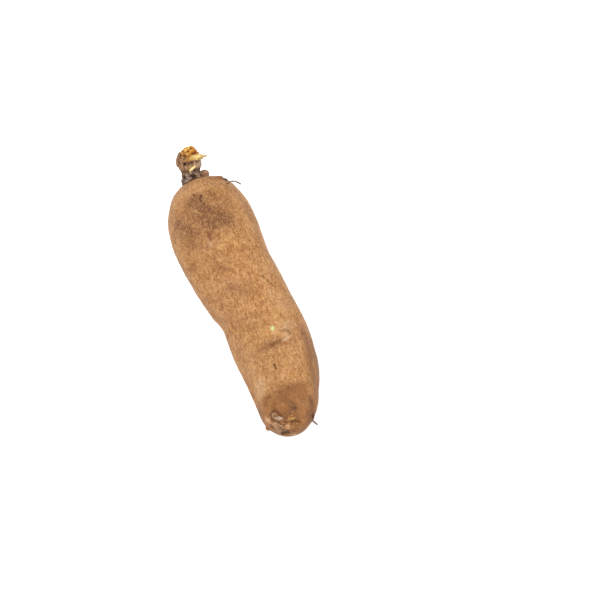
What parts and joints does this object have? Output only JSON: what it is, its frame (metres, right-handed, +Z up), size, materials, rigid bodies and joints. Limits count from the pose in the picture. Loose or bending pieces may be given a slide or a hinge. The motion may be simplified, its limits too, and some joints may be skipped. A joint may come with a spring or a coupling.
{
  "type": "yam tuber",
  "caption": "Long brown yam tuber lying on its belly, gently bent, with a rounded tip, fibrous skin and a torn woody vine stump on its head.",
  "frame": {"origin": "on the surface that the tuber lies on, under the middle of the whole part's bounding box", "axes": "+Y along the tuber from its tip to its head, where the vine stump is; +Z up; the belly lies down"},
  "size_m": [0.1026, 0.3264, 0.0869],
  "materials": {
    "skin": "dry matt brown skin with fine lengthwise fibres and faint growth rings",
    "stump_bark": "rough dark bark, torn at the top to orange and cream flesh",
    "rootlet": "dried brown fibre"
  },
  "bodies": {
    "root": {"tuber": "skin", "stem_stump": "stump_bark", "crown_rootlet": "rootlet", "tip_rootlet": "rootlet"}
  },
  "joints": []
}
